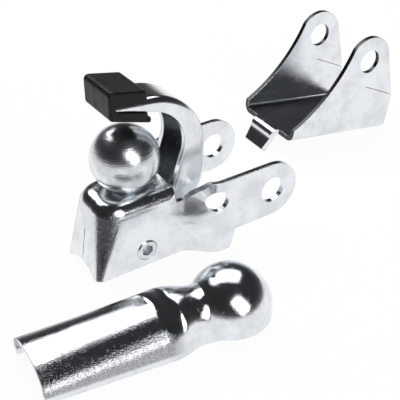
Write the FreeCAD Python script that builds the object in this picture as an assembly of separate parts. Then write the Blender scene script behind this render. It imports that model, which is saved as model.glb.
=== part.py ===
"""Bicycle trailer coupling: ball head with a sprung hook, seat-post clamp bracket and drawbar socket.

Millimetres. The head stands with its ears towards +X; Z is up and the table is Z = 0.
"""
import FreeCAD, Part
import math
import os

V = FreeCAD.Vector
UP = V(0, 0, 1)
ACROSS = V(0, 1, 0)

# Stock and fits
sheet = 2.0
pin_r = 4.0
running_gap = 0.05
side_gap = 0.2
stop_gap = 0.3
ear_hole_r = 5.2
small_hole_r = 4.2

# Ball and its fastening
ball_r = 12.5
ball_seat = 11.2
shank_r = 3.95
shank_hole_r = 4.2
shank_end = 2.0
washer_t = 1.6
washer_r = 6.7
nut_flats = 13.0
nut_t = 6.5
nut_bore_r = 4.0

# Head body, one folded sheet
plate_z = 28.1
plate_end = 13.3
body_half = 12.3
front_bottom = -20.0
front_top = -15.8
corner_low_r = 3.0
corner_top_r = 11.0
seam_gap = 0.6
seam_top = 16.0
flap_rise = 3.0
flap_half = 9.0
flap_depth = 7.0
flare_bend_r = 7.5
flare_end = 28.0
ear_half = 20.5
ear_r = 11.0
ear_start = 24.0
ear_x = 50.5
ear_z = 18.7
small_hole_x = 26.2
small_hole_z = 22.1
wall_end = 31.5
wall_step = 2.0
dip_r = 3.0

# Pivot of the hook
pivot_x = 0.5
pivot_z = 6.6
pivot_proud = 0.4
pivot_chamfer = 0.5
hex_flats = 4.0
hex_depth = 4.0
spacer_r = 6.0
lock_nut_flats = 13.0
lock_nut_t = 4.0

# Hook lever, a channel open towards the ball; places are measured from the ball's centre
hook_half = 8.0
hook_crown_x = 5.0
hook_crown_r = 24.2
hook_crown_tilt = math.radians(5.8)
hook_drop = 7.0
hook_heel_r = 22.0
hook_bend_r = 2.5
throat_x = 4.4
throat_z = 4.0
throat_r = 15.5
throat_tilt = math.radians(16.7)
tip_x = -6.8
tip_slant = 2.0
throat_end = math.radians(-20)
arm_front = 10.5
arm_waist_x = 9.5
arm_waist_drop = 9.0
boss_r = 5.5
web_relief_r = 7.4

# Grip, a moulded cap on the hook's tip
grip_half = 9.0
grip_front = -9.2
grip_end = 5.2
grip_front_top = 31.2
grip_end_top = 28.1
grip_front_low = 20.6
lip_end = 6.4
lip_end_low = 15.7
lip_end_t = 2.2
lip_r = 0.88
grip_corner_r = 1.8
grip_edge_r = 1.0
grip_gap = 0.15

# Closing spring
wire_r = 0.7
coil_r = 5.0
coil_turns = 4
coil_pitch = 1.55
lever_leg = 13.0
lever_leg_turn = math.radians(16.0)
plate_leg_x = -9.6
leg_gap = 0.1

# Clamp bracket, one folded sheet; own axes, front at x = 0, floor at z = 0
bracket_half = 18.4
bracket_bend_r = 4.0
bracket_length = 53.4
bracket_ear_x = 35.0
bracket_ear_z = 34.6
bracket_ear_turn = math.radians(150)
bracket_front_h = 5.6
bracket_rear_h = 17.2
bracket_sweep_x = 13.6
bracket_sweep_z = 18.4
bracket_slit_w = 0.6
bracket_slit_in = 17.0
bracket_slit_rise = 5.9
nose_root = 9.0
nose_end = 5.75
nose_bend_r = 1.6
nose_back_r = 5.0
nose_tail = 5.0
nose_lean = math.radians(85)
nose_flare = math.radians(62)
bracket_yaw = -2.7
bracket_at_x = 91.5
bracket_at_y = 34.6

# Drawbar socket, one pressed shell; own axes, dome at x = 0, trough along -x
dome_r = 14.4
dome_z = 5.6
dome_rim = 2.6
neck_x = -13.0
neck_half = 9.2
neck_h = 15.6
shoulder_x = -23.0
trough_half = 12.0
trough_h = 17.0
trough_end = -68.1
trough_end_half = 13.2
trough_end_h = 11.0
trough_side = 0.45
trough_end_side = 0.3
trough_corner = 0.6
trough_round = 0.95
trough_end_turn = 6.5
trough_sections = 18
socket_yaw = -10.0
socket_at_x = 8.6
socket_at_y = -51.6

ball_z = plate_z + ball_seat
top_bend_r = body_half - washer_r
hook_back = hook_crown_x + hook_crown_r
far = 100.0


def side(x, z):
    """Point in the head's middle plane."""
    return V(x, 0, z)


def from_ball(x, z):
    """Point in the head's middle plane, measured from the ball's centre."""
    return V(x, 0, z + ball_z)


def plan(x, y):
    """Point on the table."""
    return V(x, y, 0)


def line(a, b):
    return Part.LineSegment(a, b).toShape()


def turn(centre, radius, start, end, place):
    """Arc about a centre, from one angle to another, in the plane that place gives."""
    points = []
    for angle in (start, (start + end) / 2, end):
        points.append(place(centre[0] + radius * math.cos(angle), centre[1] + radius * math.sin(angle)))
    return Part.Arc(*points).toShape()


def ends(edge):
    return edge.valueAt(edge.FirstParameter), edge.valueAt(edge.LastParameter)


def joined(edges):
    """Closed face from edges in order, with a straight line over each break."""
    chain = []
    for index, edge in enumerate(edges):
        chain.append(edge)
        stop = ends(edge)[1]
        start = ends(edges[(index + 1) % len(edges)])[0]
        if stop.distanceToPoint(start) > 1e-6:
            chain.append(line(stop, start))
    return Part.Face(Part.Wire(chain))


def outline(corners, place):
    """Closed face through corners (a, b, radius), each corner rounded by its radius."""
    count = len(corners)
    edges = []
    for index, (a, b, radius) in enumerate(corners):
        here = V(a, b, 0)
        back = V(*corners[index - 1][:2], 0) - here
        ahead = V(*corners[(index + 1) % count][:2], 0) - here
        back.normalize()
        ahead.normalize()
        if radius == 0:
            edges.append(place(a, b))
            continue
        half = back.getAngle(ahead) / 2
        reach = radius / math.tan(half)
        middle = back + ahead
        middle.normalize()
        bulge = here + middle * (radius / math.sin(half) - radius)
        start = here + back * reach
        stop = here + ahead * reach
        points = [place(point.x, point.y) for point in (start, bulge, stop)]
        edges.append(Part.Arc(*points).toShape())
    chain = []
    for index, edge in enumerate(edges):
        after = edges[(index + 1) % count]
        leave = edge if isinstance(edge, V) else ends(edge)[1]
        reach_point = after if isinstance(after, V) else ends(after)[0]
        if not isinstance(edge, V):
            chain.append(edge)
        if leave.distanceToPoint(reach_point) > 1e-6:
            chain.append(line(leave, reach_point))
    return Part.Face(Part.Wire(chain))


def across(face, half):
    """Face in the middle plane, thickened to both sides along Y."""
    slab = face.extrude(ACROSS * (2 * half))
    slab.translate(ACROSS * -half)
    return slab


def rod(radius, start, direction, length):
    return Part.makeCylinder(radius, length, start, direction)


def cross_rod(radius, x, z, half):
    """Round bar along Y through the point x, z."""
    return rod(radius, V(x, -half, z), ACROSS, 2 * half)


def hexagon(flats, height, start, direction):
    corner = flats / math.sqrt(3)
    points = []
    for index in range(7):
        angle = math.radians(60 * index + 30)
        points.append(V(corner * math.cos(angle), corner * math.sin(angle), 0))
    prism = Part.Face(Part.makePolygon(points)).extrude(UP * height)
    prism.Placement = FreeCAD.Placement(start, FreeCAD.Rotation(UP, direction))
    return prism


def front_at(z):
    """The leaning front wall's outer face at height z."""
    return front_bottom + (front_top - front_bottom) * z / plate_z


def corner_at(z):
    """Radius of the head's upright corners at height z."""
    return corner_low_r + (corner_top_r - corner_low_r) * z / plate_z


def front_block(inset, low, top, rear):
    """Front block of the head, drawn in by inset on its outer sides."""
    wires = []
    half = body_half - inset
    for z in (low, top):
        front = front_at(z) + inset
        radius = corner_at(z) - inset
        corners = [(rear, -half, 0), (rear, half, 0), (front, half, radius), (front, -half, radius)]
        wires.append(outline(corners, lambda x, y, z=z: V(x, y, z)).OuterWire)
    block = Part.makeLoft(wires, True, True)
    rim = []
    for edge in block.Edges:
        box = edge.BoundBox
        if box.ZMin > top - 1e-3 and box.XMin < rear - 1e-3:
            rim.append(edge)
    return block.makeFillet(top_bend_r - inset, rim)


def flared_wall():
    """Side wall behind the top plate, flaring out to the ear, as a strip on the table."""
    rise = ear_half - body_half
    run = flare_end - plate_end
    spread = math.hypot(run, rise - 2 * flare_bend_r)
    lean = math.atan2(rise - 2 * flare_bend_r, run) + math.asin(2 * flare_bend_r / spread)
    first = (plate_end, body_half + flare_bend_r)
    second = (flare_end, ear_half - flare_bend_r)
    tip = ear_x + 2 * ear_r
    down = -math.pi / 2
    up = math.pi / 2
    edges = [
        line(plan(plate_end - sheet, body_half), plan(plate_end, body_half)),
        turn(first, flare_bend_r, down, down + lean, plan),
        turn(second, flare_bend_r, up + lean, up, plan),
        line(plan(tip, ear_half), plan(tip, ear_half - sheet)),
        turn(second, flare_bend_r - sheet, up, up + lean, plan),
        turn(first, flare_bend_r + sheet, down + lean, down, plan),
        line(plan(plate_end - sheet, body_half - sheet), plan(plate_end - sheet, body_half)),
    ]
    return joined(edges).extrude(UP * (2 * plate_z))


def ear_outline():
    """Outline of the side wall behind the top plate, seen from the side."""
    top = ear_z + ear_r
    low = ear_z - ear_r
    dip = plate_z - top_bend_r
    start = plate_end - sheet
    half_turn = math.pi / 2
    edges = [
        line(side(start, dip), side(start, 0)),
        line(side(start, 0), side(wall_end, 0)),
        line(side(wall_end, 0), side(wall_end + wall_step, low)),
        turn((ear_x, ear_z), ear_r, -half_turn, half_turn, side),
        line(side(ear_x, top), side(ear_start, top)),
        line(side(ear_start, top), side(plate_end + dip_r, dip)),
    ]
    return joined(edges)


def make_head_body():
    shell = front_block(0, 0, plate_z, plate_end)
    shell = shell.cut(front_block(sheet, -sheet, plate_z - sheet, plate_end + sheet))
    wall = flared_wall().common(across(ear_outline(), far))
    body = shell.fuse([wall, wall.mirror(V(0, 0, 0), ACROSS)]).removeSplitter()
    seam = Part.makeBox(far, seam_gap, seam_top + sheet, V(front_top + sheet - far, -seam_gap / 2, -sheet))
    arch_r = (flap_half ** 2 + flap_rise ** 2) / (2 * flap_rise)
    arch = rod(arch_r, V(front_bottom - sheet, 0, flap_rise - arch_r), V(1, 0, 0), flap_depth)
    holes = [
        cross_rod(pin_r + running_gap, pivot_x, pivot_z, far),
        cross_rod(ear_hole_r, ear_x, ear_z, far),
        cross_rod(small_hole_r, small_hole_x, small_hole_z, far),
        rod(shank_hole_r, V(0, 0, plate_z - 2 * sheet), UP, 3 * sheet),
    ]
    return body.cut([seam, arch] + holes)


def make_ball():
    ball = Part.makeSphere(ball_r, V(0, 0, ball_z))
    below = Part.makeBox(far, far, far, V(-far / 2, -far / 2, plate_z - far))
    length = sheet + washer_t + nut_t + shank_end
    shank = rod(shank_r, V(0, 0, plate_z - length), UP, length + ball_seat)
    return ball.cut(below).fuse(shank).removeSplitter()


def make_washer():
    base = V(0, 0, plate_z - sheet - washer_t)
    return rod(washer_r, base, UP, washer_t).cut(rod(shank_hole_r, base, UP, washer_t))


def make_ball_nut():
    base = V(0, 0, plate_z - sheet - washer_t - nut_t)
    return hexagon(nut_flats, nut_t, base, UP).cut(rod(nut_bore_r, base, UP, nut_t))


def make_pivot_bolt():
    near = -body_half - pivot_proud
    length = 2 * (body_half + pivot_proud) + lock_nut_t
    bolt = rod(pin_r, V(pivot_x, near, pivot_z), ACROSS, length)
    rims = [edge for edge in bolt.Edges if edge.BoundBox.YLength < pivot_chamfer]
    bolt = bolt.makeChamfer(pivot_chamfer, rims)
    return bolt.cut(hexagon(hex_flats, hex_depth, V(pivot_x, near, pivot_z), ACROSS))


def make_pivot_nut():
    face = V(pivot_x, body_half, pivot_z)
    nut = hexagon(lock_nut_flats, lock_nut_t, face, ACROSS)
    nut.rotate(face, ACROSS, 30)
    return nut.cut(rod(pin_r + running_gap, face, ACROSS, lock_nut_t))


def make_spacer(sign):
    """Spacer between a side wall and the lever, on the side that sign gives."""
    wall = V(pivot_x, sign * (body_half - sheet), pivot_z)
    length = body_half - sheet - hook_half - side_gap
    tube = rod(spacer_r, wall, ACROSS * -sign, length)
    return tube.cut(rod(pin_r + running_gap, wall, ACROSS * -sign, length))


def heel_angle():
    """Angle of the line that touches both the hook's heel and the pivot boss."""
    heel = heel_centre()
    dx = heel[0] - pivot_x
    dz = heel[1] - (pivot_z - ball_z)
    return math.atan2(dz, dx) - math.acos((boss_r - hook_heel_r) / math.hypot(dx, dz))


def heel_centre():
    return (hook_back - hook_heel_r, -hook_drop)


def crown_path(inset):
    """The hook's outer edge from the tip to the pivot boss, drawn in by inset."""
    crown = (hook_crown_x, 0)
    radius = hook_crown_r - inset
    top = math.pi / 2 - hook_crown_tilt
    arc = turn(crown, radius, top, 0, from_ball)
    start = ends(arc)[0]
    slope = math.tan(hook_crown_tilt)
    tip = V(tip_x, 0, start.z + (start.x - tip_x) * slope)
    angle = heel_angle()
    heel = turn(heel_centre(), hook_heel_r - inset, 0, angle, from_ball)
    boss = from_ball(pivot_x, pivot_z - ball_z) + V(math.cos(angle), 0, math.sin(angle)) * (boss_r - inset)
    return [line(tip, start), arc, line(ends(arc)[1], ends(heel)[0]), heel, line(ends(heel)[1], boss)]


def throat_tip():
    """Inner end of the hook's tip."""
    top = math.pi / 2 - throat_tilt
    touch_x = throat_x + throat_r * math.cos(top)
    touch_z = throat_z + throat_r * math.sin(top)
    x = tip_x + tip_slant
    return from_ball(x, touch_z + (touch_x - x) * math.tan(throat_tilt))


def lever_outline():
    outer = crown_path(0)
    boss = (pivot_x, pivot_z - ball_z)
    shelf = plate_z - sheet - stop_gap - ball_z
    waist = (arm_waist_x, shelf - arm_waist_drop)
    dx = waist[0] - boss[0]
    dz = waist[1] - boss[1]
    touch = math.atan2(dz, dx) + math.acos(boss_r / math.hypot(dx, dz))
    heel_x = throat_x + throat_r * math.cos(throat_end)
    heel_z = throat_z + throat_r * math.sin(throat_end)
    foot_x = heel_x + (heel_z - shelf) * math.tan(throat_end)
    top = math.pi / 2 - throat_tilt
    tip_out = ends(outer[0])[0]
    tip_in = throat_tip()
    tip_mid = (tip_out + tip_in) * 0.5 - V(tip_slant / 2, 0, 0)
    inner = [
        turn(boss, boss_r, heel_angle(), touch - 2 * math.pi, from_ball),
        line(from_ball(*waist), from_ball(arm_front, shelf)),
        line(from_ball(foot_x, shelf), from_ball(heel_x, heel_z)),
        turn((throat_x, throat_z), throat_r, throat_end, top, from_ball),
        Part.Arc(tip_in, tip_mid, tip_out).toShape(),
    ]
    return joined(outer + inner)


def channel_outline():
    """Everything on the ball's side of the lever's web."""
    path = crown_path(sheet)
    first = ends(path[0])
    last = ends(path[-1])
    lead = (first[0] - first[1]).normalize() * far
    tail = (last[1] - last[0]).normalize() * far
    edges = [line(first[0] + lead, first[1])] + path[1:-1] + [line(last[0], last[1] + tail)]
    return joined(edges)


def make_hook_lever():
    lever = across(lever_outline(), hook_half)
    rims = []
    for path_edge in crown_path(0):
        middle = path_edge.valueAt((path_edge.FirstParameter + path_edge.LastParameter) / 2)
        for sign in (-1, 1):
            spot = Part.Vertex(middle + ACROSS * (sign * hook_half))
            rims.append(min(lever.Edges, key=lambda edge: edge.distToShape(spot)[0]))
    lever = lever.makeFillet(hook_bend_r, rims)
    inside = hook_half - sheet
    lever = lever.cut(across(channel_outline(), inside))
    lever = lever.cut(cross_rod(web_relief_r, pivot_x, pivot_z, inside))
    return lever.cut(cross_rod(pin_r + running_gap, pivot_x, pivot_z, far))


def make_hook_grip():
    corners = [
        (grip_front, grip_front_top, grip_corner_r),
        (grip_front, grip_front_low, grip_corner_r),
        (lip_end, lip_end_low, lip_r),
        (lip_end, lip_end_low + lip_end_t, lip_r),
        (grip_end, lip_end_low + lip_end_t + (lip_end - grip_end) * math.tan(throat_tilt), 0),
        (grip_end, grip_end_top, grip_corner_r),
    ]
    cap = across(outline(corners, from_ball), grip_half)
    flanks = []
    for edge in cap.Edges:
        if edge.BoundBox.YLength < 1e-3 and edge.BoundBox.XMin < grip_end - 1e-3:
            flanks.append(edge)
    top_edges = [edge for edge in flanks if edge.BoundBox.ZMin > ball_z + grip_front_low + grip_corner_r]
    cap = cap.makeFillet(grip_edge_r, top_edges)
    arm = across(lever_outline().makeOffset2D(grip_gap), far)
    core_half = hook_half - sheet - grip_gap
    web_side = channel_outline()
    web_side.translate(V(0, 0, -grip_gap))
    core = across(web_side, core_half)
    return cap.cut(arm.cut(core))


def make_spring():
    """Torsion spring round the pivot: one leg under the lever's web, one under the top plate."""
    leg_end = V(plate_leg_x, 0, plate_z - sheet - wire_r - leg_gap)
    reach = leg_end - V(pivot_x, 0, pivot_z)
    aim = math.atan2(reach.z, reach.x) + math.acos(coil_r / reach.Length)
    stop = heel_angle() - lever_leg_turn
    part_turn = ((stop - aim) / (2 * math.pi)) % 1
    height = (coil_turns + part_turn) * coil_pitch
    helix = Part.makeHelix(coil_pitch, height, coil_r).Edges[0]
    first, last = ends(helix)
    along_first = helix.tangentAt(helix.FirstParameter)
    along_last = helix.tangentAt(helix.LastParameter)
    plate_tip = first - along_first * math.sqrt(reach.Length ** 2 - coil_r ** 2)
    path = Part.Wire([line(plate_tip, first), helix, line(last, last + along_last * lever_leg)])
    section = Part.Wire(Part.Circle(plate_tip, along_first, wire_r).toShape())
    spring = path.makePipeShell([section], True, True)
    spring.rotate(V(0, 0, 0), V(1, 0, 0), 90)
    spring.rotate(V(0, 0, 0), ACROSS, -math.degrees(aim))
    spring.translate(V(pivot_x, height / 2, pivot_z))
    return spring


def bracket_outline():
    """Side wall of the bracket: a rear ear with a hole, swept down to a low front."""
    ear = (bracket_ear_x, bracket_ear_z)
    dx = bracket_length - ear[0]
    dz = bracket_rear_h - ear[1]
    rear = math.atan2(dz, dx) + math.acos(ear_r / math.hypot(dx, dz))
    left = bracket_ear_turn
    sweep_start = side(ear[0] + ear_r * math.cos(left), ear[1] + ear_r * math.sin(left))
    sweep = Part.Arc(sweep_start, side(bracket_sweep_x, bracket_sweep_z), side(0, bracket_front_h)).toShape()
    edges = [
        line(side(0, bracket_front_h), side(0, 0)),
        line(side(0, 0), side(bracket_length, 0)),
        line(side(bracket_length, 0), side(bracket_length, bracket_rear_h)),
        turn(ear, ear_r, rear, left, side),
        sweep,
    ]
    return joined(edges)


def nose_low():
    """Centre of the nose's second bend."""
    reach = nose_bend_r + sheet + nose_back_r
    return (-reach * math.sin(nose_lean), reach * math.cos(nose_lean) - nose_bend_r)


def nose_foot(radius):
    """End of the nose on the face that lies radius from its second bend's centre."""
    low = nose_low()
    x = low[0] + radius * math.sin(nose_flare) - nose_tail * math.cos(nose_flare)
    z = low[1] - radius * math.cos(nose_flare) - nose_tail * math.sin(nose_flare)
    return side(x, z)


def bracket_nose():
    """Tongue at the floor's front, bent down and then out again."""
    high = (0, -nose_bend_r)
    low = nose_low()
    top = math.pi / 2
    edges = [
        line(side(sheet, sheet), side(0, sheet)),
        turn(high, nose_bend_r + sheet, top, top + nose_lean, side),
        turn(low, nose_back_r, nose_lean - top, nose_flare - top, side),
        line(nose_foot(nose_back_r), nose_foot(nose_back_r + sheet)),
        turn(low, nose_back_r + sheet, nose_flare - top, nose_lean - top, side),
        turn(high, nose_bend_r, top + nose_lean, top, side),
        line(side(0, 0), side(sheet, 0)),
    ]
    strip = across(joined(edges), far)
    tip = nose_foot(nose_back_r).x - sheet
    corners = [(sheet, -nose_root, 0), (sheet, nose_root, 0), (tip, nose_end, 0), (tip, -nose_end, 0)]
    taper = outline(corners, plan).extrude(UP * (2 * far))
    taper.translate(UP * -far)
    return strip.common(taper)


def make_bracket():
    tall = bracket_ear_z + 2 * ear_r
    blocks = []
    for inset in (0, sheet):
        half = bracket_half - inset
        bend = bracket_bend_r - inset
        section = outline(
            [(-half, inset, bend), (half, inset, bend), (half, tall, 0), (-half, tall, 0)],
            lambda y, z, inset=inset: V(-inset, y, z),
        )
        blocks.append(section.extrude(V(bracket_length + 2 * inset, 0, 0)))
    folded = blocks[0].cut(blocks[1]).common(across(bracket_outline(), far))
    slit_face = outline(
        [
            (bracket_length - bracket_slit_in, bracket_rear_h + bracket_slit_rise, 0),
            (bracket_length - bracket_slit_in, bracket_rear_h + bracket_slit_rise - bracket_slit_w, 0),
            (bracket_length + sheet, bracket_rear_h - bracket_slit_w, 0),
            (bracket_length + sheet, bracket_rear_h, 0),
        ],
        side,
    )
    hole = cross_rod(ear_hole_r, bracket_ear_x, bracket_ear_z, far)
    bracket = folded.fuse(bracket_nose()).removeSplitter().cut([across(slit_face, far), hole])
    foot = nose_foot(nose_back_r + sheet)
    tilt = math.degrees(math.atan2(-foot.z, bracket_length - foot.x))
    bracket.rotate(V(0, 0, 0), ACROSS, tilt)
    bracket.rotate(V(0, 0, 0), UP, bracket_yaw)
    bracket.translate(plan(bracket_at_x, bracket_at_y))
    bracket.translate(UP * -bracket.optimalBoundingBox(False, False).ZMin)
    return bracket


def arch(x, half, height, spring_line, low):
    """Wire of an arched section at x: straight sides, round shoulders and a flatter crown."""
    rise = height - spring_line
    shoulder = rise * trough_corner
    inner = half - shoulder
    crown = (inner ** 2 + rise ** 2 - shoulder ** 2) / (2 * (rise - shoulder))
    centre = height - crown
    lean = math.atan2(spring_line - centre, inner)
    edges = []

    def place(y, z):
        return V(x, y, z)

    edges.append(line(place(-half, low), place(-half, spring_line)))
    edges.append(turn((-inner, spring_line), shoulder, math.pi, math.pi - lean, place))
    edges.append(turn((0, centre), crown, math.pi - lean, lean, place))
    edges.append(turn((inner, spring_line), shoulder, lean, 0, place))
    edges.append(line(place(half, spring_line), place(half, low)))
    edges.append(line(place(half, low), place(-half, low)))
    return Part.Wire(edges)


def trough_section(x):
    """Half width, height and spring line at x: a waist at the neck, then a straight taper to the end."""
    along = (x - shoulder_x) / (trough_end - shoulder_x)
    half = trough_half + (trough_end_half - trough_half) * along
    height = trough_h + (trough_end_h - trough_h) * along
    share = trough_side + (trough_end_side - trough_side) * along
    rise = min(max((neck_x - x) / (neck_x - shoulder_x), 0), 1)
    blend = rise * rise * (3 - 2 * rise)
    tall = neck_h + (height - neck_h) * blend
    wide = neck_half + (half - neck_half) * blend
    return wide, tall, max(tall * share, tall - wide * trough_round)


def socket_form(inset, low):
    """Solid outer form of the socket, drawn in by inset and left long at its end."""
    dome = Part.makeSphere(dome_r - inset, V(0, 0, dome_z))
    skirt = rod(dome_r - inset, V(0, 0, dome_rim + low), UP, dome_z - dome_rim - low)
    lower = Part.makeBox(far, far, far, V(-far / 2, -far / 2, dome_z - far))
    start = neck_x / 2
    end = trough_end - trough_end_half - inset
    wires = []
    for index in range(trough_sections + 1):
        x = start + (end - start) * index / trough_sections
        half, height, spring_line = trough_section(x)
        wires.append(arch(x, half - inset, height - inset, spring_line, low))
    trough = Part.makeLoft(wires, True, False)
    return dome.cut(lower).fuse([skirt, trough]).removeSplitter()


def make_socket():
    socket = socket_form(0, 0).cut(socket_form(sheet, -sheet))
    beyond = Part.makeBox(far, 2 * far, 2 * far, V(-far, -far, -far))
    beyond.rotate(V(0, 0, 0), UP, trough_end_turn)
    beyond.translate(V(trough_end, 0, 0))
    socket = socket.cut(beyond)
    socket.rotate(V(0, 0, 0), UP, socket_yaw)
    socket.translate(plan(socket_at_x, socket_at_y))
    return socket


def make_all():
    return {
        "head_body": make_head_body(),
        "coupling_ball": make_ball(),
        "ball_washer": make_washer(),
        "ball_nut": make_ball_nut(),
        "pivot_bolt": make_pivot_bolt(),
        "pivot_nut": make_pivot_nut(),
        "near_spacer": make_spacer(-1),
        "far_spacer": make_spacer(1),
        "hook_lever": make_hook_lever(),
        "hook_grip": make_hook_grip(),
        "hook_spring": make_spring(),
        "clamp_bracket": make_bracket(),
        "drawbar_socket": make_socket(),
    }


def main():
    parts = make_all()
    box = FreeCAD.BoundBox()
    for shape in parts.values():
        box.add(shape.optimalBoundingBox(False, False))
    origin = V(box.Center.x, box.Center.y, box.ZMin)
    print("origin", [round(value, 4) for value in origin])
    os.makedirs("parts", exist_ok=True)
    for node, shape in parts.items():
        shape.translate(origin * -1)
        shape.exportStep("parts/" + node + ".step")
        print(node, "solids", len(shape.Solids), "valid", shape.isValid(), "volume", round(shape.Volume, 1))


main()
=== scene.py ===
"""Looks of a bicycle trailer coupling: zinc-plated sheet, turned ball, moulded grip and white studio."""
import math

import bmesh
import bpy
from bpy.props import FloatProperty, FloatVectorProperty, PointerProperty
from mathutils import Matrix, Vector

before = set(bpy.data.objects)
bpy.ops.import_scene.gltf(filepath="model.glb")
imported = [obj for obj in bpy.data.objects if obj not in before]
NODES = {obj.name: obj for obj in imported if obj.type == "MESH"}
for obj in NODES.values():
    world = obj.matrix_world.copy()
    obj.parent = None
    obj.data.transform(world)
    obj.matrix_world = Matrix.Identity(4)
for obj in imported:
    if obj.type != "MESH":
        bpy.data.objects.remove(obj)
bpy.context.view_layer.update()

bl_info = {
    "name": "Trailer Coupling Finishes",
    "version": (1, 0, 0),
    "blender": (4, 5, 0),
    "location": "View3D > Sidebar > Coupling",
    "description": "Finishes, thread details and studio stage for a bicycle trailer coupling",
    "category": "Object",
}

FASTENER_NODES = ("ball_washer", "ball_nut", "pivot_bolt", "pivot_nut", "near_spacer", "far_spacer")

# Places and lengths on the pieces, in metres in the frame
BALL_AXIS = (-0.04418, 0.00652)
SHANK_TOP = 0.0262
THREAD_PITCH = 0.00125
THREAD_FADE = 0.001
THREAD_DEPTH = 0.00030
TROUGH_FROM = -0.056
TROUGH_FULL = -0.064
TROUGH_CROWN = 0.0170
LIP_TOP = 0.0020
WALL_FROM = (0.0455, 0.0465)
WALL_FOOT = (0.004, 0.007)
BASE_TOP = (0.014, 0.020)
CORNER_FROM = -0.048
CORNER_FULL = -0.052
DENT_ALONG = -0.0265
DENT_OUT = 0.0140
DENT_HEIGHT = 0.0195
DENT_RADIUS = 0.0085
PARTING_ACROSS = 0.0085
PARTING_HALF = 0.00025
GRIP_EDGE = 0.0005

# Slopes of the trough's crown, and of the lean that the shading adds
CROWN_RISE = 0.1285
TROUGH_LEAN = 0.31
CORNER_LEAN = 0.26
DENT_LEAN = 0.34

# Plain colours
WIRE_DARK = (0.30, 0.29, 0.28, 1)
WIRE_PALE = (0.46, 0.45, 0.44, 1)
WHITE = (1, 1, 1, 1)
WORLD_HORIZON = (0.11, 0.11, 0.11, 1)
WORLD_TOP = (0.030, 0.030, 0.032, 1)

FLOOR_HALF = 40.0
FLOOR_DROP = 0.0001
LENS_NEAR = 0.01
LAMPS = (
    {
        "name": "back_softbox", "way": (-0.13, 0.36, 0.68), "along": (1.0, 0.0, 0.2),
        "distance": 0.75, "size": (0.85, 0.5), "power": 4.4,
    },
    {
        "name": "top_fill", "way": (0.1, -0.1, 1.0), "along": (1.0, 0.0, 0.0),
        "distance": 0.9, "size": (1.2, 1.2), "power": 3.0, "mirrored": False,
    },
    {
        "name": "front_softbox", "way": (0.45, -0.74, 0.50), "along": (0.89, -0.19, -1.1),
        "distance": 0.75, "size": (0.6, 0.34), "power": 2.2,
    },
)


class Value:
    """A shader socket that can be written into Python expressions."""

    def __init__(self, graph, socket):
        self.graph = graph
        self.socket = socket

    def maths(self, operation, *others):
        values = dict(enumerate((self,) + others))
        return self.graph.node("ShaderNodeMath", {"operation": operation}, values)

    def __add__(self, other):
        return self.maths("ADD", other)

    def __radd__(self, other):
        return self.maths("ADD", other)

    def __sub__(self, other):
        return self.maths("SUBTRACT", other)

    def __rsub__(self, other):
        return self.graph.node("ShaderNodeMath", {"operation": "SUBTRACT"}, {0: other, 1: self})

    def __mul__(self, other):
        return self.maths("MULTIPLY", other)

    def __rmul__(self, other):
        return self.maths("MULTIPLY", other)

    def __truediv__(self, other):
        return self.maths("DIVIDE", other)

    def __pow__(self, other):
        return self.maths("POWER", other)

    def largest(self, other):
        return self.maths("MAXIMUM", other)

    def sine(self):
        return self.maths("SINE")

    def size(self):
        return self.maths("ABSOLUTE")

    def clipped(self, low, high):
        """Runs smoothly from 0 where the value is low to 1 where it is high; low may be the larger."""
        settings = {"interpolation_type": "SMOOTHSTEP"}
        inputs = {"Value": self, "From Min": low, "From Max": high}
        return self.graph.node("ShaderNodeMapRange", settings, inputs)


class Graph:
    """The node tree of one material or world."""

    def __init__(self, owner):
        owner.use_nodes = True
        self.tree = owner.node_tree
        self.tree.nodes.clear()

    def node(self, kind, settings=None, inputs=None, output=0):
        """Adds a node, sets it up, fills or links its sockets and returns one of its outputs."""
        made = self.tree.nodes.new(kind)
        for name, setting in (settings or {}).items():
            setattr(made, name, setting)
        for key, value in (inputs or {}).items():
            if isinstance(value, Value):
                self.tree.links.new(value.socket, made.inputs[key])
            else:
                made.inputs[key].default_value = value
        return Value(self, made.outputs[output]) if made.outputs else None

    def place(self):
        return self.node("ShaderNodeTexCoord", output="Object")

    def facing(self):
        """The three parts of the face's own normal."""
        return self.axes(self.node("ShaderNodeNewGeometry", output="True Normal"))

    def axes(self, vector):
        """The three parts of a vector."""
        split = self.tree.nodes.new("ShaderNodeSeparateXYZ")
        self.tree.links.new(vector.socket, split.inputs[0])
        return [Value(self, socket) for socket in split.outputs]

    def noise(self, vector, scale, detail=2.0, roughness=0.5):
        inputs = {"Vector": vector, "Scale": scale, "Detail": detail, "Roughness": roughness}
        return self.node("ShaderNodeTexNoise", None, inputs)

    def stretched(self, vector, scale, turn=(0.0, 0.0, 0.0)):
        """A place scaled and turned, for noise that runs one way."""
        inputs = {"Vector": vector, "Rotation": turn, "Scale": scale}
        return self.node("ShaderNodeMapping", None, inputs)

    def blend(self, amount, first, second):
        """Mixes two colours by an amount from 0 to 1."""
        settings = {"data_type": "RGBA"}
        return self.node("ShaderNodeMix", settings, {0: amount, 6: first, 7: second}, output=2)

    def bump(self, height, distance, strength, normal=None):
        """A normal tilted by a height, on top of another normal if one is given."""
        inputs = {"Height": height, "Distance": distance, "Strength": strength}
        if normal is not None:
            inputs["Normal"] = normal
        return self.node("ShaderNodeBump", None, inputs)

    def soft_edges(self, radius):
        """A normal that looks rounded at sharp edges."""
        return self.node("ShaderNodeBevel", {"samples": 6}, {"Radius": radius})

    def surface(self, inputs):
        """Ends the tree of a material in a principled shader."""
        shader = self.node("ShaderNodeBsdfPrincipled", None, inputs)
        self.node("ShaderNodeOutputMaterial", None, {"Surface": shader})


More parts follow.
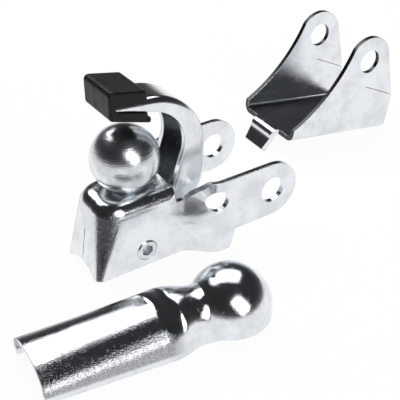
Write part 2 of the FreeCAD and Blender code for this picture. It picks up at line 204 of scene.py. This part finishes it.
class ZincSettings(bpy.types.PropertyGroup):
    bright: FloatVectorProperty(
        name="Bright zinc", description="Colour of the plate where it is brightest",
        subtype="COLOR", size=4, min=0, max=1, default=(0.82, 0.85, 0.88, 1),
    )
    dull: FloatVectorProperty(
        name="Dull zinc", description="Colour of the plate where it is clouded",
        subtype="COLOR", size=4, min=0, max=1, default=(0.60, 0.62, 0.65, 1),
    )
    # Near-black zinc blended in with the crazing: crazed zinc painted darker as a dark reflection on the
    # trough's lower band, the head's front corners and the dents
    peeled_and_dark_reflection: FloatVectorProperty(
        name="Peeled zinc", description="Colour of the plate where the sheet was drawn and crazed",
        subtype="COLOR", size=4, min=0, max=1, default=(0.13, 0.135, 0.145, 1),
    )
    # Near-black colour of the cut edges, bores and slits: bare cut steel, painted darker as shade
    sheared_edge_and_shade: FloatVectorProperty(
        name="Sheared steel", description="Colour of the cut edges",
        subtype="COLOR", size=4, min=0, max=1, default=(0.07, 0.07, 0.07, 1),
    )
    gloss: FloatProperty(
        name="Roughness", description="Lowest roughness of the plated sheet", min=0, max=1, default=0.075,
    )
    edge: FloatProperty(
        name="Edge rounding", description="Radius of the rounded look on sheet edges",
        subtype="DISTANCE", unit="LENGTH", min=0, default=0.0004,
    )


class GripSettings(bpy.types.PropertyGroup):
    black: FloatVectorProperty(
        name="Grip black", description="Colour of the moulded grip",
        subtype="COLOR", size=4, min=0, max=1, default=(0.0022, 0.0028, 0.0028, 1),
    )
    worn: FloatVectorProperty(
        name="Grip grey", description="Colour of the grip where it is rubbed",
        subtype="COLOR", size=4, min=0, max=1, default=(0.006, 0.007, 0.007, 1),
    )


class StageSettings(bpy.types.PropertyGroup):
    camera_place: FloatVectorProperty(
        name="Camera place", description="Where the camera stands", subtype="TRANSLATION", unit="LENGTH",
        size=3, default=(-0.16098, -0.21358, 0.1887),
    )
    camera_heading: FloatProperty(
        name="Camera heading", description="Turn of the view from +Y towards +X",
        subtype="ANGLE", unit="ROTATION", default=math.radians(34.0),
    )
    camera_pitch: FloatProperty(
        name="Camera pitch", description="How far the view looks down",
        subtype="ANGLE", unit="ROTATION", default=math.radians(34.0),
    )
    focal_share: FloatProperty(
        name="Focal length", description="Focal length as a share of the picture's width",
        min=0.5, default=2.075,
    )
    floor_colour: FloatVectorProperty(
        name="Floor", description="Colour of the studio floor",
        subtype="COLOR", size=4, min=0, max=1, default=(0.93, 0.93, 0.93, 1),
    )
    floor_glow: FloatProperty(
        name="Floor white", description="How much of the floor is plain white to the eye and in the metal",
        subtype="FACTOR", min=0, max=1, default=0.95,
    )


def dress(node, material):
    """Gives a CAD node one material."""
    mesh = NODES[node].data
    mesh.materials.clear()
    mesh.materials.append(material)


def zinc_sheet(name, detail=None):
    """Bright zinc on pressed sheet: soft waves in the reflections, a fine grain and faint clouding.

    detail adds what one piece has of its own. It takes the graph and the place, and gives back some of
    these by name: lean, a height that tilts the surface; peel_and_dark_reflection, the share of crazed
    orange-skin texture, which also darkens the colour as a painted dark reflection;
    sheared_edge_and_shade, the share of bare cut edge, which is also painted nearly black as shade.
    """
    zinc = bpy.context.scene.coupling_zinc
    material = bpy.data.materials.new(name)
    graph = Graph(material)
    place = graph.place()
    drawn = graph.stretched(place, scale=(60, 700, 700), turn=(0, 0.35, 0.5))
    cloud = graph.noise(place, scale=90, detail=4, roughness=0.6).clipped(0.38, 0.66)
    streak = graph.noise(drawn, scale=1, detail=3, roughness=0.6)
    wave = graph.noise(place, scale=55, detail=1, roughness=0.4)
    grain = graph.noise(place, scale=2100, detail=2, roughness=0.6)
    speck = graph.noise(place, scale=620, detail=3, roughness=0.7).clipped(0.52, 0.75)
    normal = graph.bump(wave, distance=0.0010, strength=0.35, normal=graph.soft_edges(zinc.edge))
    colour = graph.blend(cloud * 0.55 + speck * 0.3, tuple(zinc.bright), tuple(zinc.dull))
    roughness = zinc.gloss + 0.06 * cloud + 0.10 * streak * speck + 0.22 * speck * grain
    marks = detail(graph, place) if detail else {}
    if "lean" in marks:
        normal = graph.bump(marks["lean"], distance=1.0, strength=1.0, normal=normal)
    if "peel_and_dark_reflection" in marks:
        peel_and_dark_reflection = marks["peel_and_dark_reflection"]
        crazed = graph.noise(place, scale=1700, detail=2, roughness=0.65).clipped(0.36, 0.64)
        grain = grain * (1 + 1.7 * peel_and_dark_reflection)
        # Painted dark reflection: the crazed share blends the colour towards near-black zinc
        colour = graph.blend(peel_and_dark_reflection * (0.46 + 0.24 * crazed), colour, tuple(zinc.peeled_and_dark_reflection))
        roughness = roughness + 0.12 * peel_and_dark_reflection
    if "sheared_edge_and_shade" in marks:
        # Painted shade: the cut edges, bores and slits are blended nearly to black
        colour = graph.blend(marks["sheared_edge_and_shade"], colour, tuple(zinc.sheared_edge_and_shade))
        roughness = roughness + 0.16 * marks["sheared_edge_and_shade"]
    graph.surface({
        "Base Color": colour,
        "Metallic": 1.0,
        "Roughness": roughness,
        "Normal": graph.bump(grain, distance=0.00008, strength=0.6, normal=normal),
    })
    return material


def pressed_trough(graph, place):
    """The socket's trough: its sides lean out above a short upright lip and carry a coarse crazing,
    darkened below the crown as a painted dark reflection.
    """
    along, _, height = graph.axes(place)
    trough = along.clipped(TROUGH_FROM, TROUGH_FULL)
    raised = (height - LIP_TOP).largest(0.0)
    crown = TROUGH_CROWN + (along - TROUGH_FROM) * CROWN_RISE
    above_lip = height.clipped(0.7 * LIP_TOP, 1.5 * LIP_TOP)
    below_crown = 1 - (height / crown).clipped(0.60, 0.88)
    # The band above the lip and below the crown gets the crazing and a painted dark reflection
    return {"lean": trough * raised * -TROUGH_LEAN, "peel_and_dark_reflection": trough * above_lip * below_crown}


def sheared_walls_and_shade(graph, place):
    """The bracket's walls: the cut edges, the bores and the slits are left dull by the shears and painted
    nearly black as shade.
    """
    _, sideways, upwards = graph.facing()
    along, _, height = graph.axes(place)
    edge = (1 - (sideways * sideways).clipped(0.3, 0.7)) * along.clipped(*WALL_FROM)
    base = upwards.clipped(0.90, 0.97) * (1 - height.clipped(*BASE_TOP))
    # Painted shade on the cut edges, bores and slits, kept off the floor and the wall feet
    return {"sheared_edge_and_shade": edge * (1 - base) * height.clipped(*WALL_FOOT)}


def drawn_corner(graph, place):
    """The head's front corners, drawn in upwards with a coarse crazing, and a shallow dent in each flare;
    both are darkened as a painted dark reflection.
    """
    ahead, sideways, _ = graph.facing()
    along, across, height = graph.axes(place)
    corner = (4 * (ahead * sideways) ** 2).clipped(0.12, 0.72) * along.clipped(CORNER_FROM, CORNER_FULL)
    out = (across - BALL_AXIS[1]).size()
    rise = height - DENT_HEIGHT
    apart = (along - DENT_ALONG) ** 2 + (out - DENT_OUT) ** 2 + rise ** 2
    dent = 1 - apart.clipped(0.0, DENT_RADIUS ** 2)
    lean = (corner * height * CORNER_LEAN + dent * rise * DENT_LEAN) * -1
    # The corners and, at six tenths, the dents get the crazing and a painted dark reflection
    return {"lean": lean, "peel_and_dark_reflection": corner.largest(dent * 0.6)}


def turned_zinc():
    """The ball: fine turning rings about its upright axis, and a thread on the shank."""
    zinc = bpy.context.scene.coupling_zinc
    material = bpy.data.materials.new("turned_ball")
    graph = Graph(material)
    place = graph.place()
    along, across, height = graph.axes(place)
    around = (across - BALL_AXIS[1]).maths("ARCTAN2", along - BALL_AXIS[0])
    on_shank = height.clipped(SHANK_TOP, SHANK_TOP - THREAD_FADE)
    thread = (height * (math.tau / THREAD_PITCH) + around).sine() * on_shank
    uneven = graph.noise(place, scale=140, detail=3, roughness=0.55)
    rings = (height * 7000 + uneven * 30).sine()
    broad = graph.noise(graph.stretched(place, scale=(60, 60, 2200)), scale=1, detail=4, roughness=0.7)
    threaded = graph.bump(thread, distance=THREAD_DEPTH, strength=1.0)
    normal = graph.bump(rings * 0.12 + broad, distance=0.00006, strength=0.6, normal=threaded)
    graph.surface({
        "Base Color": graph.blend(uneven.clipped(0.35, 0.7), tuple(zinc.bright), tuple(zinc.dull)),
        "Metallic": 1.0,
        "Roughness": zinc.gloss + 0.10 + 0.16 * broad,
        "Normal": normal,
    })
    return material


def fastener_zinc():
    """Plated nuts, washer, spacers and bolt: duller than the sheet, with a machined grain."""
    zinc = bpy.context.scene.coupling_zinc
    material = bpy.data.materials.new("fastener_zinc")
    graph = Graph(material)
    place = graph.place()
    cloud = graph.noise(place, scale=260, detail=3, roughness=0.6)
    grain = graph.noise(place, scale=2600, detail=2, roughness=0.6)
    rounded = graph.soft_edges(zinc.edge / 2)
    normal = graph.bump(grain, distance=0.00005, strength=0.5, normal=rounded)
    graph.surface({
        "Base Color": graph.blend(cloud, tuple(zinc.bright), tuple(zinc.dull)),
        "Metallic": 1.0,
        "Roughness": zinc.gloss + 0.14 + 0.12 * cloud,
        "Normal": normal,
    })
    return material


def spring_steel():
    """Drawn spring wire: dark and slightly oiled."""
    material = bpy.data.materials.new("spring_wire")
    graph = Graph(material)
    place = graph.place()
    oil = graph.noise(place, scale=320, detail=3, roughness=0.6)
    grain = graph.noise(place, scale=3000, detail=2, roughness=0.6)
    graph.surface({
        "Base Color": graph.blend(oil, WIRE_DARK, WIRE_PALE),
        "Metallic": 1.0,
        "Roughness": 0.24 + 0.16 * oil,
        "Normal": graph.bump(grain, distance=0.00004, strength=0.4),
    })
    return material


def moulded_black():
    """The grip: black plastic with a fine grain and a parting line, rubbed a little greyer in places."""
    grip = bpy.context.scene.coupling_grip
    material = bpy.data.materials.new("grip_plastic")
    graph = Graph(material)
    place = graph.place()
    rub = graph.noise(place, scale=170, detail=4, roughness=0.6).clipped(0.45, 0.75)
    grain = graph.noise(place, scale=2300, detail=3, roughness=0.7)
    apart = graph.axes(place)[1] - PARTING_ACROSS
    flash = 1 - (apart * apart).clipped(0.0, PARTING_HALF ** 2)
    rounded = graph.soft_edges(GRIP_EDGE)
    seam = graph.bump(flash, distance=PARTING_HALF, strength=1.0, normal=rounded)
    normal = graph.bump(grain, distance=0.00012, strength=0.55, normal=seam)
    graph.surface({
        "Base Color": graph.blend(rub, tuple(grip.black), tuple(grip.worn)),
        "Roughness": 0.36 + 0.16 * rub + 0.08 * grain,
        "Specular IOR Level": 0.27,
        "Normal": normal,
    })
    return material


class COUPLING_OT_sheet(bpy.types.Operator):
    """Plate the folded and pressed sheet pieces"""
    bl_idname = "coupling.sheet"
    bl_label = "Zinc Sheet"

    def execute(self, context):
        dress("head_body", zinc_sheet("zinc_drawn", drawn_corner))
        dress("hook_lever", zinc_sheet("zinc_sheet"))
        dress("clamp_bracket", zinc_sheet("zinc_sheared", sheared_walls_and_shade))
        dress("drawbar_socket", zinc_sheet("zinc_pressed", pressed_trough))
        return {"FINISHED"}


class COUPLING_OT_ball(bpy.types.Operator):
    """Turn and plate the ball"""
    bl_idname = "coupling.ball"
    bl_label = "Turned Ball"

    def execute(self, context):
        dress("coupling_ball", turned_zinc())
        return {"FINISHED"}


class COUPLING_OT_fasteners(bpy.types.Operator):
    """Plate the nuts, the washer, the spacers and the pivot bolt"""
    bl_idname = "coupling.fasteners"
    bl_label = "Fasteners"

    def execute(self, context):
        material = fastener_zinc()
        for node in FASTENER_NODES:
            dress(node, material)
        return {"FINISHED"}


class COUPLING_OT_spring(bpy.types.Operator):
    """Finish the closing spring"""
    bl_idname = "coupling.spring"
    bl_label = "Spring"

    def execute(self, context):
        dress("hook_spring", spring_steel())
        return {"FINISHED"}


class COUPLING_OT_grip(bpy.types.Operator):
    """Mould the grip"""
    bl_idname = "coupling.grip"
    bl_label = "Grip"

    def execute(self, context):
        dress("hook_grip", moulded_black())
        return {"FINISHED"}


def studio_floor(stage):
    """White floor, partly plain white to the eye and in reflections, that keeps the object's shadow."""
    material = bpy.data.materials.new("studio_floor")
    graph = Graph(material)
    paint = graph.node("ShaderNodeBsdfDiffuse", None, {"Color": tuple(stage.floor_colour)})
    white = graph.node("ShaderNodeEmission", None, {"Color": WHITE, "Strength": 1.0})
    seen = graph.node("ShaderNodeLightPath", output="Is Camera Ray")
    mirrored = graph.node("ShaderNodeLightPath", output="Is Glossy Ray")
    through = graph.node("ShaderNodeLightPath", output="Is Transmission Ray")
    amount = seen.largest(mirrored).largest(through) * stage.floor_glow
    shown = graph.node("ShaderNodeMixShader", None, {0: amount, 1: paint, 2: white})
    graph.node("ShaderNodeOutputMaterial", None, {"Surface": shown})
    form = bmesh.new()
    bmesh.ops.create_grid(form, x_segments=1, y_segments=1, size=FLOOR_HALF)
    bmesh.ops.translate(form, verts=form.verts, vec=(0, 0, -FLOOR_DROP))
    mesh = bpy.data.meshes.new("studio_floor")
    form.to_mesh(mesh)
    form.free()
    mesh.materials.append(material)
    floor = bpy.data.objects.new("studio_floor", mesh)
    bpy.context.scene.collection.objects.link(floor)


def studio_world():
    """Dark studio overhead, paler towards the horizon."""
    world = bpy.data.worlds.new("studio_world")
    bpy.context.scene.world = world
    graph = Graph(world)
    way = graph.node("ShaderNodeTexCoord", output="Generated")
    height = graph.axes(way)[2]
    colour = graph.blend(height.clipped(0.0, 0.4), WORLD_HORIZON, WORLD_TOP)
    sky = graph.node("ShaderNodeBackground", None, {"Color": colour, "Strength": 1.0})
    graph.node("ShaderNodeOutputWorld", None, {"Surface": sky})


def softbox(name, way, along, distance, size, power, mirrored=True):
    """Rectangular lamp facing the object.

    way points from the object to the lamp and along runs with its first side, both given in the camera's
    right, away and up.
    """
    heading = bpy.context.scene.coupling_stage.camera_heading
    turn = Matrix.Rotation(-heading, 3, "Z")
    back = (turn @ Vector(way)).normalized()
    side = turn @ Vector(along)
    side = (side - back * side.dot(back)).normalized()
    lamp = bpy.data.lights.new(name, "AREA")
    lamp.shape = "RECTANGLE"
    lamp.size, lamp.size_y = size
    lamp.energy = power
    light = bpy.data.objects.new(name, lamp)
    frame_axes = Matrix((side, back.cross(side), back)).transposed()
    light.matrix_world = Matrix.Translation(back * distance) @ frame_axes.to_4x4()
    light.visible_glossy = mirrored
    bpy.context.scene.collection.objects.link(light)


def studio_camera(stage):
    """Camera at the photograph's angle."""
    lens = bpy.data.cameras.new("studio_camera")
    lens.lens = lens.sensor_width * stage.focal_share
    lens.clip_start = LENS_NEAR
    camera = bpy.data.objects.new("studio_camera", lens)
    level = math.cos(stage.camera_pitch)
    forward = Vector((
        math.sin(stage.camera_heading) * level,
        math.cos(stage.camera_heading) * level,
        -math.sin(stage.camera_pitch),
    ))
    camera.location = stage.camera_place
    camera.rotation_euler = forward.to_track_quat("-Z", "Y").to_euler()
    bpy.context.scene.collection.objects.link(camera)
    bpy.context.scene.camera = camera


class COUPLING_OT_stage(bpy.types.Operator):
    """Set up the floor, the world, the softboxes and the camera"""
    bl_idname = "coupling.stage"
    bl_label = "Studio Stage"

    def execute(self, context):
        stage = context.scene.coupling_stage
        studio_floor(stage)
        studio_world()
        for lamp in LAMPS:
            softbox(**lamp)
        studio_camera(stage)
        context.scene.view_settings.view_transform = "Standard"
        return {"FINISHED"}


class COUPLING_PT_panel(bpy.types.Panel):
    """Lists the steps that dress the coupling"""
    bl_idname = "COUPLING_PT_panel"
    bl_label = "Trailer Coupling"
    bl_space_type = "VIEW_3D"
    bl_region_type = "UI"
    bl_category = "Coupling"

    def draw(self, context):
        for step in STEPS:
            self.layout.operator(step.bl_idname)


STEPS = (
    COUPLING_OT_sheet,
    COUPLING_OT_ball,
    COUPLING_OT_fasteners,
    COUPLING_OT_spring,
    COUPLING_OT_grip,
    COUPLING_OT_stage,
)
GROUPS = {"coupling_zinc": ZincSettings, "coupling_grip": GripSettings, "coupling_stage": StageSettings}
CLASSES = tuple(GROUPS.values()) + STEPS + (COUPLING_PT_panel,)


def register():
    for made in CLASSES:
        bpy.utils.register_class(made)
    for name, group in GROUPS.items():
        setattr(bpy.types.Scene, name, PointerProperty(type=group))


def unregister():
    for name in GROUPS:
        delattr(bpy.types.Scene, name)
    for made in reversed(CLASSES):
        bpy.utils.unregister_class(made)


def main():
    register()
    bpy.ops.coupling.sheet()
    bpy.ops.coupling.ball()
    bpy.ops.coupling.fasteners()
    bpy.ops.coupling.spring()
    bpy.ops.coupling.grip()
    bpy.ops.coupling.stage()


if __name__ == "__main__":
    main()
